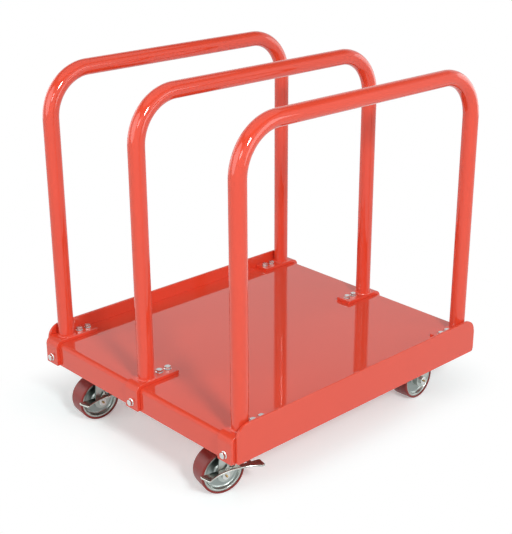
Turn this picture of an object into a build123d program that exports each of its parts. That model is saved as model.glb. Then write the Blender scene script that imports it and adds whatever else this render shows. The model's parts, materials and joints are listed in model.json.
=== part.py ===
from build123d import *
from math import cos, radians, sin
import os

os.makedirs("parts", exist_ok=True)

# Driving dimensions in millimetres. X runs along the cart, rear end at -X, right side at -Y.

# Deck pan and side plates
deck_length = 768.0
cart_width = 666.0
pan_depth = 55.0
pan_sheet = 3.0
pan_bend = 10.0
plate_end_gap = 2.0
plate_height = 86.0
plate_thickness = 6.0
plate_top_corner = 32.0
plate_bottom_corner = 6.0

# Tube hoops
tube_diameter = 36.5
tube_wall = 3.4
hoop_rise = 627.0
hoop_bend = 102.0
leg_inset = 35.0

# Foot straps under the hoops
strap_width = 43.0
strap_side_gap = 0.5
strap_thickness = 8.0
strap_reach = 74.0
strap_lift = 1.0
strap_corner = 2.0
strap_bend_gap = 0.5
first_deck_bolt = 36.0
deck_bolt_pitch = 23.0
end_bolt_height = 18.0
weld_leg = 3.2
weld_gap = 0.05

# Channels and rib under the deck
channel_margin = 3.5
channel_end_gap = 5.0
channel_sheet = 4.0
channel_bend = 8.0
rib_width = 60.0
rib_depth = 25.0

# Hexagon bolts and nuts
bolt_diameter = 8.0
bolt_hole_gap = 0.25
bolt_head_flats = 13.0
bolt_head_height = 5.5
bolt_flange = 17.0
bolt_flange_height = 1.6
nut_height = 6.5
bolt_overhang = 2.5

# Caster: place of the swivel axis across the cart, the plate and its bolts
caster_side_inset = 105.0
caster_trail = 22.0
caster_plate_length = 105.0
caster_plate_width = 85.0
caster_plate_thickness = 5.0
caster_plate_corner = 8.0
mount_bolt_edge = 12.5
mount_slot_travel = 4.0

# Swivel bearing
race_diameter = 60.0
race_gap = 1.6
race_height = 5.2
race_lip = 4.5
cage_outer = 51.0
cage_inner = 35.0
cage_height = 5.0
cage_gap = 0.3
kingpin_diameter = 12.0
kingpin_gap = 0.1
kingpin_head = 22.0
kingpin_head_height = 2.6
kingpin_foot_height = 4.0
kingpin_seat_gap = 0.3

# Fork
wheel_crown_gap = 5.0
fork_inside = 54.0
fork_sheet = 4.0
fork_bend = 5.0
fork_crown_length = 66.0
fork_crown_flank = 10.0
fork_boss_diameter = 35.0

# Wheel
wheel_diameter = 100.0
tread_width = 46.0
tread_thickness = 5.0
tread_shoulder = 3.0
rim_width = 42.0
rim_lip = 4.0
hub_diameter = 29.0
hub_side_gap = 1.0
web_width = 26.0
web_flare = 5.0
bush_wall = 2.0
bush_gap = 0.1
axle_diameter = 10.0
axle_hole_gap = 0.1
axle_flats = 17.0
axle_head_height = 6.4
axle_nut_height = 8.0
axle_overhang = 2.0

# Brake pedal, rocking on a stud of the fork
pedal_level = 15.0
pedal_sheet = 2.5
pedal_rim = 4.0
pedal_side_gap = 0.5
pedal_front = 82.0
pedal_rear = 59.0
pedal_pad_width = 30.5
pedal_waist_width = 11.5
pedal_corner = 4.0
pedal_rear_slant = 8.0
pedal_hub_diameter = 18.0
pedal_web_length = 36.0
stud_diameter = 8.0
stud_gap = 0.1
stud_head = 12.0
stud_head_height = 2.2
stud_seat_gap = 0.3
stud_forward = 14.0
stud_rise = 25.0
shoe_gap = 2.0
shoe_length = 9.0
shoe_reach = 46.0

# Headings of the casters, in degrees from straight ahead, and the taper of the rivet heads
heading_rear_right = -14.0
heading_rear_left = -7.0
heading_front_right = 2.0
heading_front_left = -5.0
rivet_taper = 30.0

# Places worked out from the dimensions above
crown_under = wheel_diameter + wheel_crown_gap
crown_top = crown_under + fork_sheet
lower_race_top = crown_top + race_height
upper_race_bottom = lower_race_top + race_gap
race_middle = upper_race_bottom - race_gap / 2
caster_plate_under = upper_race_bottom + race_height
caster_height = caster_plate_under + caster_plate_thickness
pan_bottom = caster_height
deck_top = pan_bottom + pan_depth
deck_under = deck_top - pan_sheet
deck_width = cart_width - 2 * plate_thickness
deck_half = deck_length / 2
plate_length = deck_length - 2 * plate_end_gap
caster_half_width = deck_width / 2 - caster_side_inset
leg_x = deck_half - leg_inset
strap_top = deck_top + strap_thickness
strap_bend = pan_bend - strap_bend_gap
tube_radius = tube_diameter / 2
channel_web_top = pan_bottom + channel_sheet
fork_outer = fork_inside / 2 + fork_sheet
wheel_radius = wheel_diameter / 2
shoe_forward = wheel_radius + shoe_gap
axle_radius = axle_diameter / 2
bush_radius = axle_radius + bush_gap + bush_wall
core_radius = wheel_radius - tread_thickness
bolt_radius = bolt_diameter / 2
bolt_hole = bolt_radius + bolt_hole_gap
outer_row = deck_width / 2 - strap_side_gap - strap_width / 2
hoop_rows = {"right": -outer_row, "middle": 0.0, "left": outer_row}
ends = {"rear": -1, "front": 1}
deck_bolt_offsets = (first_deck_bolt, first_deck_bolt + deck_bolt_pitch)
channel_width = caster_plate_length + 2 * channel_margin
end_nut_depth = pan_sheet + nut_height + bolt_overhang
caster_half_length = deck_half - end_nut_depth - channel_end_gap - channel_width / 2
mount_bolt_length_pitch = caster_plate_length - 2 * mount_bolt_edge
mount_bolt_width_pitch = caster_plate_width - 2 * mount_bolt_edge
deck_bolt_places = [
    (end * (leg_x - offset), row)
    for row in hoop_rows.values() for end in ends.values() for offset in deck_bolt_offsets
]
end_bolt_level = pan_bottom + end_bolt_height
mount_bolt_places = [
    (end * caster_half_length + along * mount_bolt_length_pitch / 2,
     side * caster_half_width + across * mount_bolt_width_pitch / 2)
    for end in ends.values() for side in (-1, 1) for along in (-1, 1) for across in (-1, 1)
]


def save(piece, name):
    """Label a finished piece and write it to its own file."""
    piece.part.label = name
    export_step(piece.part, f"parts/{name}.step")


def bent_sheet(corners, inner_corners, outer_bend, inner_bend):
    """Face of a bent sheet between an outer and an inner run of corners."""
    with BuildSketch() as section:
        with BuildLine():
            outer = FilletPolyline(*corners, radius=outer_bend)
            inner = FilletPolyline(*inner_corners, radius=inner_bend)
            Line(outer @ 0, inner @ 0)
            Line(outer @ 1, inner @ 1)
        make_face()
    return section.sketch


def channel_face(width, bottom, top, sheet, outer_bend):
    """Face of a channel that is open along its top, centred on the sketch's first axis."""
    half = width / 2
    inside = half - sheet
    floor = bottom + sheet
    return bent_sheet(
        [(-half, top), (-half, bottom), (half, bottom), (half, top)],
        [(-inside, top), (-inside, floor), (inside, floor), (inside, top)],
        outer_bend,
        outer_bend - sheet,
    )


def hanging_face(width, bottom, top, sheet, outer_bend):
    """Face of a channel that is open along its bottom, centred on the sketch's first axis."""
    half = width / 2
    inside = half - sheet
    ceiling = top - sheet
    return bent_sheet(
        [(-half, bottom), (-half, top), (half, top), (half, bottom)],
        [(-inside, bottom), (-inside, ceiling), (inside, ceiling), (inside, bottom)],
        outer_bend,
        outer_bend - sheet,
    )


def across_end(end):
    """Plane of an end face of the deck, facing outwards, with Y or -Y to the right and Z up."""
    return Plane(origin=(end * deck_half, 0, 0), x_dir=(0, end, 0), z_dir=(end, 0, 0))


# Deck pan: one sheet with both ends bent down
with BuildPart() as deck_pan:
    with BuildSketch(Plane.XZ):
        add(hanging_face(deck_length, pan_bottom, deck_top, pan_sheet, pan_bend))
    extrude(amount=deck_width / 2, both=True)
    with BuildSketch(Plane.XY.offset(deck_top)):
        with Locations(*deck_bolt_places):
            Circle(bolt_hole)
    extrude(amount=-pan_sheet, mode=Mode.SUBTRACT)
    for end in ends.values():
        with BuildSketch(across_end(end)):
            with Locations(*[(end * row, end_bolt_level) for row in hoop_rows.values()]):
                Circle(bolt_hole)
        extrude(amount=-pan_sheet, mode=Mode.SUBTRACT)
save(deck_pan, "deck_pan")

# Side plates: upright on the long sides, above the deck by their height less the pan's depth
for side, inner_face in (("right", deck_width / 2), ("left", -cart_width / 2)):
    with BuildPart() as side_plate:
        with BuildSketch(Plane.XZ.offset(inner_face)):
            with Locations((0, pan_bottom)):
                Rectangle(plate_length, plate_height, align=(Align.CENTER, Align.MIN))
            upper = vertices().group_by(Axis.Y)[-1]
            lower = vertices().group_by(Axis.Y)[0]
            fillet(upper, plate_top_corner)
            fillet(lower, plate_bottom_corner)
        extrude(amount=plate_thickness)
    save(side_plate, f"side_plate_{side}")

# Cross channels: their webs lie level with the pan's lower edge and carry the casters
for end_name, end in ends.items():
    with BuildPart() as caster_channel:
        with BuildSketch(Plane.XZ):
            with Locations((end * caster_half_length, 0)):
                add(channel_face(channel_width, pan_bottom, deck_under, channel_sheet, channel_bend))
        extrude(amount=deck_width / 2, both=True)
        with BuildSketch(Plane.XY.offset(pan_bottom)):
            with Locations(*[place for place in mount_bolt_places if place[0] * end > 0]):
                Circle(bolt_hole)
            with Locations(*[(end * caster_half_length, s * caster_half_width) for s in (-1, 1)]):
                Circle(kingpin_head / 2 + kingpin_seat_gap)
        extrude(amount=channel_sheet, mode=Mode.SUBTRACT)
    save(caster_channel, f"caster_channel_{end_name}")

# Lengthwise rib under the middle of the deck, between the two channels
with BuildPart() as deck_rib:
    with BuildSketch(Plane.YZ):
        add(channel_face(rib_width, deck_under - rib_depth, deck_under, pan_sheet, channel_bend))
    extrude(amount=caster_half_length - channel_width / 2, both=True)
save(deck_rib, "deck_rib")

# Hoops: tube legs with a wide bend into the cross bar
for row_name, row in hoop_rows.items():
    bar_level = deck_top + hoop_rise
    with BuildPart() as hoop:
        with BuildLine():
            FilletPolyline(
                (-leg_x, row, strap_top),
                (-leg_x, row, bar_level),
                (leg_x, row, bar_level),
                (leg_x, row, strap_top),
                radius=hoop_bend,
            )
        with BuildSketch(Plane(origin=(-leg_x, row, strap_top), z_dir=(0, 0, 1))):
            Circle(tube_radius)
            Circle(tube_radius - tube_wall, mode=Mode.SUBTRACT)
        sweep()
    save(hoop, f"hoop_{row_name}")

# Foot straps: flat bar bent over the deck's end, with the weld bead round the tube's foot
for row_name, row in hoop_rows.items():
    for end_name, end in ends.items():
        outer_x = end * (deck_half + strap_thickness)
        inner_x = end * deck_half
        tip_x = end * (leg_x - strap_reach)
        foot = pan_bottom + strap_lift
        with BuildPart() as foot_strap:
            with BuildSketch(Plane.XZ.offset(-row)):
                add(bent_sheet(
                    [(tip_x, strap_top), (outer_x, strap_top), (outer_x, foot)],
                    [(tip_x, deck_top), (inner_x, deck_top), (inner_x, foot)],
                    strap_bend + strap_thickness,
                    strap_bend,
                ))
            extrude(amount=strap_width / 2, both=True)
            tip_corners = edges().filter_by(Axis.Z).group_by(Axis.X)[0 if end > 0 else -1]
            foot_corners = edges().filter_by(Axis.X).group_by(Axis.Z)[0]
            fillet(tip_corners + foot_corners, strap_corner)
            with BuildSketch(Plane.XY.offset(strap_top)):
                with Locations(*[(end * (leg_x - offset), row) for offset in deck_bolt_offsets]):
                    Circle(bolt_hole)
            extrude(amount=-strap_thickness, mode=Mode.SUBTRACT)
            with BuildSketch(across_end(end)):
                with Locations((end * row, end_bolt_level)):
                    Circle(bolt_hole)
            extrude(amount=strap_thickness, mode=Mode.SUBTRACT)
            bead_plane = Plane(origin=(end * leg_x, row, strap_top), x_dir=(1, 0, 0), z_dir=(0, -1, 0))
            with BuildSketch(bead_plane):
                with BuildLine():
                    Polyline(
                        (tube_radius + weld_gap, 0),
                        (tube_radius + weld_gap, weld_leg),
                        (tube_radius + weld_leg / 2, weld_leg / 3),
                        (tube_radius + weld_leg, 0),
                        close=True,
                    )
                make_face()
            revolve(axis=Axis((end * leg_x, row, 0), (0, 0, 1)))
        save(foot_strap, f"foot_strap_{row_name}_{end_name}")

# Flanged bolts that hold the straps down on the deck, and their nuts under it
strap_grip = strap_thickness + pan_sheet
with BuildPart() as deck_bolts:
    with BuildSketch(Plane.XY.offset(strap_top)):
        with Locations(*deck_bolt_places):
            Circle(bolt_flange / 2)
    extrude(amount=bolt_flange_height)
    with BuildSketch(Plane.XY.offset(strap_top)):
        with Locations(*deck_bolt_places):
            RegularPolygon(bolt_head_flats / 2, 6, major_radius=False)
    extrude(amount=bolt_head_height + bolt_flange_height)
    with BuildSketch(Plane.XY.offset(strap_top)):
        with Locations(*deck_bolt_places):
            Circle(bolt_radius)
    extrude(amount=-(strap_grip + nut_height + bolt_overhang))
save(deck_bolts, "deck_bolts")

with BuildPart() as deck_bolt_nuts:
    with BuildSketch(Plane.XY.offset(deck_under)):
        with Locations(*deck_bolt_places):
            RegularPolygon(bolt_head_flats / 2, 6, major_radius=False)
            Circle(bolt_radius, mode=Mode.SUBTRACT)
    extrude(amount=-nut_height)
save(deck_bolt_nuts, "deck_bolt_nuts")

# Flanged bolts through the straps into the pan's ends, and their nuts inside
with BuildPart() as end_bolts:
    for end in ends.values():
        strap_face = across_end(end).offset(strap_thickness)
        places = [(end * row, end_bolt_level) for row in hoop_rows.values()]
        with BuildSketch(strap_face):
            with Locations(*places):
                Circle(bolt_flange / 2)
        extrude(amount=bolt_flange_height)
        with BuildSketch(strap_face):
            with Locations(*places):
                RegularPolygon(bolt_head_flats / 2, 6, major_radius=False)
        extrude(amount=bolt_head_height + bolt_flange_height)
        with BuildSketch(strap_face):
            with Locations(*places):
                Circle(bolt_radius)
        extrude(amount=-(strap_grip + nut_height + bolt_overhang))
save(end_bolts, "end_bolts")

with BuildPart() as end_bolt_nuts:
    for end in ends.values():
        with BuildSketch(across_end(end).offset(-pan_sheet)):
            with Locations(*[(end * row, end_bolt_level) for row in hoop_rows.values()]):
                RegularPolygon(bolt_head_flats / 2, 6, major_radius=False)
                Circle(bolt_radius, mode=Mode.SUBTRACT)
        extrude(amount=-nut_height)
save(end_bolt_nuts, "end_bolt_nuts")

# Bolts that hold the caster plates up against the channels, and their nuts inside
with BuildPart() as mount_bolts:
    with BuildSketch(Plane.XY.offset(caster_plate_under)):
        with Locations(*mount_bolt_places):
            RegularPolygon(bolt_head_flats / 2, 6, major_radius=False)
    extrude(amount=-bolt_head_height)
    with BuildSketch(Plane.XY.offset(caster_plate_under)):
        with Locations(*mount_bolt_places):
            Circle(bolt_radius)
    extrude(amount=caster_plate_thickness + channel_sheet + nut_height + bolt_overhang)
save(mount_bolts, "mount_bolts")

with BuildPart() as mount_nuts:
    with BuildSketch(Plane.XY.offset(channel_web_top)):
        with Locations(*mount_bolt_places):
            RegularPolygon(bolt_head_flats / 2, 6, major_radius=False)
            Circle(bolt_radius, mode=Mode.SUBTRACT)
    extrude(amount=nut_height)
save(mount_nuts, "mount_nuts")


# Planes of a caster. Its own X points forwards, and the wheel trails behind the swivel axis.


def caster_frame(x, y, heading):
    """Floor plane of a caster, turned to its heading about the swivel axis."""
    turn = radians(heading)
    return Plane(origin=(x, y, 0), x_dir=(cos(turn), sin(turn), 0), z_dir=(0, 0, 1))


def side_of(frame, across):
    """Plane square to the axle, with forwards to the right and Z up."""
    return Plane(origin=frame.origin - frame.y_dir * across, x_dir=frame.x_dir, z_dir=-frame.y_dir)


def section_of(frame, along, level=0.0):
    """Plane that holds the axle's direction, with the brake side to the right and Z up."""
    origin = frame.origin + frame.x_dir * along + frame.z_dir * level
    return Plane(origin=origin, x_dir=-frame.y_dir, z_dir=-frame.x_dir)


def race_ring(frame, bottom, top, groove_bottom, groove_top):
    """Ring of the swivel bearing, with the groove that half of the cage runs in."""
    with BuildPart() as ring:
        with BuildSketch(frame.offset(bottom)):
            Circle(race_diameter / 2)
            Circle(cage_inner / 2 - race_lip, mode=Mode.SUBTRACT)
        extrude(amount=top - bottom)
        with BuildSketch(frame.offset(groove_bottom)):
            Circle(cage_outer / 2 + cage_gap)
            Circle(cage_inner / 2 - cage_gap, mode=Mode.SUBTRACT)
        extrude(amount=groove_top - groove_bottom, mode=Mode.SUBTRACT)
    return ring.part


def make_caster_plate(frame, name):
    """Top plate with four slots and the upper ring of the swivel bearing."""
    groove_top = race_middle + cage_height / 2 + cage_gap
    with BuildPart() as caster_plate:
        with BuildSketch(frame.offset(caster_plate_under)):
            RectangleRounded(caster_plate_length, caster_plate_width, caster_plate_corner)
            with GridLocations(mount_bolt_length_pitch, mount_bolt_width_pitch, 2, 2):
                SlotCenterToCenter(mount_slot_travel, 2 * bolt_hole, mode=Mode.SUBTRACT)
            Circle(kingpin_diameter / 2 + kingpin_gap, mode=Mode.SUBTRACT)
        extrude(amount=caster_plate_thickness)
        add(race_ring(frame, upper_race_bottom, caster_plate_under, upper_race_bottom, groove_top))
    save(caster_plate, name)


def make_cage(frame, name):
    """Ball cage ring between the two races."""
    with BuildPart() as cage:
        with BuildSketch(frame.offset(race_middle)):
            Circle(cage_outer / 2)
            Circle(cage_inner / 2, mode=Mode.SUBTRACT)
        extrude(amount=cage_height / 2, both=True)
    save(cage, name)


def make_kingpin(frame, name):
    """Rivet that ties plate and fork together, headed above the plate and under the crown."""
    foot_top = crown_under - kingpin_seat_gap
    with BuildPart() as kingpin:
        with BuildSketch(frame.offset(caster_height)):
            Circle(kingpin_head / 2)
        extrude(amount=kingpin_head_height, taper=rivet_taper)
        with BuildSketch(frame.offset(foot_top)):
            Circle(kingpin_diameter / 2)
        extrude(amount=caster_height - foot_top)
        with BuildSketch(frame.offset(foot_top)):
            Circle(kingpin_head / 2)
        extrude(amount=-kingpin_foot_height, taper=rivet_taper)
    save(kingpin, name)


def make_fork(frame, name, braked):
    """Fork stamped from one sheet: crown, two tapering legs and the lower race."""
    groove_bottom = race_middle - cage_height / 2 - cage_gap
    leg_bottom = wheel_radius - fork_boss_diameter / 2
    with BuildPart() as fork:
        with BuildSketch(section_of(frame, 0)):
            add(hanging_face(2 * fork_outer, leg_bottom, crown_top, fork_sheet, fork_bend))
        extrude(amount=fork_crown_length, both=True)
        with BuildSketch(side_of(frame, 0)):
            with Locations((-caster_trail, wheel_radius)):
                Circle(fork_boss_diameter / 2)
            with Locations((0, crown_top)):
                Rectangle(fork_crown_length, fork_crown_flank, align=(Align.CENTER, Align.MAX))
            make_hull()
        extrude(amount=fork_outer, both=True, mode=Mode.INTERSECT)
        add(race_ring(frame, crown_top, lower_race_top, groove_bottom, lower_race_top))
        with BuildSketch(frame.offset(crown_under)):
            Circle(kingpin_diameter / 2 + kingpin_gap)
        extrude(amount=fork_sheet, mode=Mode.SUBTRACT)
        with BuildSketch(side_of(frame, 0)):
            with Locations((-caster_trail, wheel_radius)):
                Circle(axle_radius + axle_hole_gap)
        extrude(amount=fork_outer, both=True, mode=Mode.SUBTRACT)
        if braked:
            stud_seat = pedal_side_gap + pedal_sheet + stud_seat_gap
            place = (stud_forward - caster_trail, wheel_radius + stud_rise)
            with BuildSketch(side_of(frame, fork_outer)):
                with Locations(place):
                    Circle(stud_diameter / 2)
            extrude(amount=stud_seat)
            with BuildSketch(side_of(frame, fork_outer + stud_seat)):
                with Locations(place):
                    Circle(stud_head / 2)
            extrude(amount=stud_head_height)
    save(fork, name)


def make_axle_bolt(frame, name):
    """Axle bolt with its hexagon head on the brake side."""
    with BuildPart() as axle_bolt:
        with BuildSketch(side_of(frame, fork_outer)):
            with Locations((-caster_trail, wheel_radius)):
                RegularPolygon(axle_flats / 2, 6, major_radius=False)
        extrude(amount=axle_head_height)
        with BuildSketch(side_of(frame, fork_outer)):
            with Locations((-caster_trail, wheel_radius)):
                Circle(axle_radius)
        extrude(amount=-(2 * fork_outer + axle_nut_height + axle_overhang))
    save(axle_bolt, name)


def make_axle_nut(frame, name):
    """Hexagon nut on the far end of the axle bolt."""
    with BuildPart() as axle_nut:
        with BuildSketch(side_of(frame, -fork_outer)):
            with Locations((-caster_trail, wheel_radius)):
                RegularPolygon(axle_flats / 2, 6, major_radius=False)
                Circle(axle_radius, mode=Mode.SUBTRACT)
        extrude(amount=-axle_nut_height)
    save(axle_nut, name)


def make_axle_bush(frame, name):
    """Plain sleeve clamped between the fork legs, on which the wheel runs."""
    with BuildPart() as axle_bush:
        with BuildSketch(side_of(frame, 0)):
            with Locations((-caster_trail, wheel_radius)):
                Circle(bush_radius)
                Circle(axle_radius + bush_gap, mode=Mode.SUBTRACT)
        extrude(amount=fork_inside / 2, both=True)
    save(axle_bush, name)


def wheel_section(frame):
    """Plane through the axle with the brake side to the right and the radius upwards."""
    return section_of(frame, -caster_trail, wheel_radius)


def axle_axis(frame):
    """Axis of the wheel."""
    return Axis(wheel_section(frame).origin, wheel_section(frame).x_dir)


def make_wheel_core(frame, name):
    """Cast wheel core: hub, dished web and rim."""
    bore = bush_radius + bush_gap
    hub_half = fork_inside / 2 - hub_side_gap
    rim_half = rim_width / 2
    web_half = web_width / 2
    hub_radius = hub_diameter / 2
    rim_bottom = core_radius - rim_lip
    with BuildPart() as wheel_core:
        with BuildSketch(wheel_section(frame)):
            with BuildLine():
                Polyline(
                    (0, bore),
                    (hub_half, bore),
                    (hub_half, hub_radius),
                    (web_half, hub_radius + rim_lip),
                    (web_half, rim_bottom - web_flare),
                    (rim_half, rim_bottom),
                    (rim_half, core_radius),
                    (0, core_radius),
                    close=True,
                )
            make_face()
            mirror(about=Plane.YZ)
        revolve(axis=axle_axis(frame))
    save(wheel_core, name)


def make_tread(frame, name):
    """Tyre tread bonded round the core, with rounded shoulders."""
    with BuildPart() as tread:
        with BuildSketch(wheel_section(frame)):
            with Locations((0, core_radius)):
                Rectangle(tread_width, tread_thickness, align=(Align.CENTER, Align.MIN))
            fillet(vertices().group_by(Axis.Y)[-1], tread_shoulder)
        revolve(axis=axle_axis(frame))
    save(tread, name)


def make_brake_pedal(frame, name):
    """Two-ended rocker pedal: a waisted tray, a web with the pivot hub, and the shoe bar."""
    top = wheel_radius + pedal_level
    inner = fork_outer + pedal_side_gap
    rear = -caster_trail - pedal_rear
    front = -caster_trail + pedal_front
    pivot = (stud_forward - caster_trail, wheel_radius + stud_rise)
    with BuildPart() as brake_pedal:
        with BuildSketch(frame.offset(top)) as tray:
            with BuildLine():
                outer_edge = ThreePointArc(
                    (rear + pedal_rear_slant, -(inner + pedal_pad_width)),
                    (pivot[0], -(inner + pedal_waist_width)),
                    (front, -(inner + pedal_pad_width)),
                )
                Polyline(
                    outer_edge @ 0,
                    (rear, -(inner + pedal_rear_slant)),
                    (rear, -inner),
                    (front, -inner),
                    outer_edge @ 1,
                )
            make_face()
            fillet(vertices(), pedal_corner)
        extrude(amount=-pedal_rim)
        with BuildSketch(frame.offset(top - pedal_rim)):
            add(tray.sketch_local)
            offset(amount=-pedal_sheet, mode=Mode.REPLACE)
        extrude(amount=pedal_rim - pedal_sheet, mode=Mode.SUBTRACT)
        with BuildSketch(side_of(frame, inner)):
            with Locations(pivot):
                Circle(pedal_hub_diameter / 2)
            with Locations((pivot[0], top - pedal_sheet)):
                Rectangle(pedal_web_length, pedal_sheet, align=(Align.CENTER, Align.MIN))
            make_hull()
        extrude(amount=pedal_sheet)
        with BuildSketch(frame.offset(top)):
            with Locations((shoe_forward - caster_trail, -(inner + pedal_sheet))):
                Rectangle(shoe_length, shoe_reach, align=(Align.MIN, Align.MIN))
        extrude(amount=-pedal_sheet)
        with BuildSketch(side_of(frame, inner)):
            with Locations(pivot):
                Circle(stud_diameter / 2 + stud_gap)
        extrude(amount=pedal_sheet, mode=Mode.SUBTRACT)
    save(brake_pedal, name)


# Casters by corner: end, side, heading and whether there is a brake, which only the rear pair has
casters = {
    "rear_right": (-1, -1, heading_rear_right, True),
    "rear_left": (-1, 1, heading_rear_left, True),
    "front_right": (1, -1, heading_front_right, False),
    "front_left": (1, 1, heading_front_left, False),
}
for corner, (end, side, heading, braked) in casters.items():
    x = end * caster_half_length
    y = side * caster_half_width
    fixed = caster_frame(x, y, 0)
    turned = caster_frame(x, y, heading)
    make_caster_plate(fixed, f"caster_plate_{corner}")
    make_cage(fixed, f"bearing_cage_{corner}")
    make_kingpin(fixed, f"kingpin_{corner}")
    make_fork(turned, f"fork_{corner}", braked)
    make_axle_bolt(turned, f"axle_bolt_{corner}")
    make_axle_nut(turned, f"axle_nut_{corner}")
    make_axle_bush(turned, f"axle_bush_{corner}")
    make_wheel_core(turned, f"wheel_core_{corner}")
    make_tread(turned, f"tread_{corner}")
    if braked:
        make_brake_pedal(turned, f"brake_pedal_{corner}")
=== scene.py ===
"""Finished look of the panel cart: enamelled frame, plated fasteners and four swivel casters."""

import json
import logging
import math
from collections.abc import Iterator, Sequence
from dataclasses import dataclass
from enum import Enum
from functools import cached_property

import bmesh
import bpy
from bpy.types import ID, Material, Node, NodeSocket, Object, World
from mathutils import Matrix, Vector

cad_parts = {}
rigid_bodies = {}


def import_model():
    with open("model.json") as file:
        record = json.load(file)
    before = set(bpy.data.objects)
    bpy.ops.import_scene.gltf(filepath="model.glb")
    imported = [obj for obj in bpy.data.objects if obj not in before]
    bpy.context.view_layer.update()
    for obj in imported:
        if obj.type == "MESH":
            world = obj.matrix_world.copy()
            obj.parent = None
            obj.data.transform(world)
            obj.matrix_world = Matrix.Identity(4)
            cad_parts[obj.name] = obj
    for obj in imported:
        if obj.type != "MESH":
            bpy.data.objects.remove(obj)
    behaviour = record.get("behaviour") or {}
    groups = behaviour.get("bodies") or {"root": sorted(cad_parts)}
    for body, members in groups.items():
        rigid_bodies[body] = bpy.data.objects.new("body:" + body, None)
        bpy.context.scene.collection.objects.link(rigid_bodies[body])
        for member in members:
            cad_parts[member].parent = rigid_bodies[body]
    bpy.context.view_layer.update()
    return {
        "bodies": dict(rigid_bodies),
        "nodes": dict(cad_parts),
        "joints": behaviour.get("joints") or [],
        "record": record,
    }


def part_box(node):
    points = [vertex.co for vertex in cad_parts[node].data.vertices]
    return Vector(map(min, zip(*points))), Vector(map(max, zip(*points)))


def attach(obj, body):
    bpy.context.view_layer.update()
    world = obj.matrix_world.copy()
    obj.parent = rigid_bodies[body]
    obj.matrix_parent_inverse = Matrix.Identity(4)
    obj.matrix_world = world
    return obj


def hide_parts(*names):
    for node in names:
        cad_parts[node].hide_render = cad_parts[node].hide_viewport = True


log = logging.getLogger("panel_cart")

MM = 0.001
AHEAD, LEFT, UP = Vector((1, 0, 0)), Vector((0, 1, 0)), Vector((0, 0, 1))
WHITE = "#FFFFFF"
ROWS = ("right", "middle", "left")
PAN_SHEET = 3.0  # thickness of the deck's sheet in millimetres
SHARP = 34.0  # angle in degrees above which an edge of a plain piece is sharp
HEX_SHARP = 25.0
SOFT_SHARP = 50.0
BEAD_SHARP = 60.0

Point2 = tuple[float, float]
Point3 = tuple[float, float, float]
Ring = list[Vector]
# A bolt: seat of its head, seat of its nut, direction out of the head, and turn of both.
Spot = tuple[Vector, Vector, Vector, float]


class Slot(Enum):
    """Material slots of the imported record."""

    PAINT = "red_paint"
    FASTENER = "zinc_fastener"
    PLATE = "zinc_plate"
    WHEEL = "wheel_metal"
    TREAD = "maroon_tread"
    BEARING = "bearing_bronze"


class End(Enum):
    """Ends of the cart along X."""

    REAR = -1
    FRONT = 1


class Corner(Enum):
    """Corners of the cart, by the ending of their nodes' names."""

    REAR_RIGHT = "rear_right"
    REAR_LEFT = "rear_left"
    FRONT_RIGHT = "front_right"
    FRONT_LEFT = "front_left"

    @property
    def braked(self) -> bool:
        """Whether the caster has a pedal."""
        return self.value.startswith("rear")


# Nodes and colours


def linear(colour: str) -> tuple[float, float, float, float]:
    """Turns a colour of six sRGB hex digits after a hash sign to linear red, green, blue and alpha."""
    parts = (int(colour[i : i + 2], 16) / 255 for i in (1, 3, 5))
    return *(c / 12.92 if c <= 0.04045 else ((c + 0.055) / 1.055) ** 2.4 for c in parts), 1.0


def per_metre(size: float) -> float:
    """Pattern scale for Object coordinates from a real size in millimetres."""
    return 1 / (size * MM)


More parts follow.
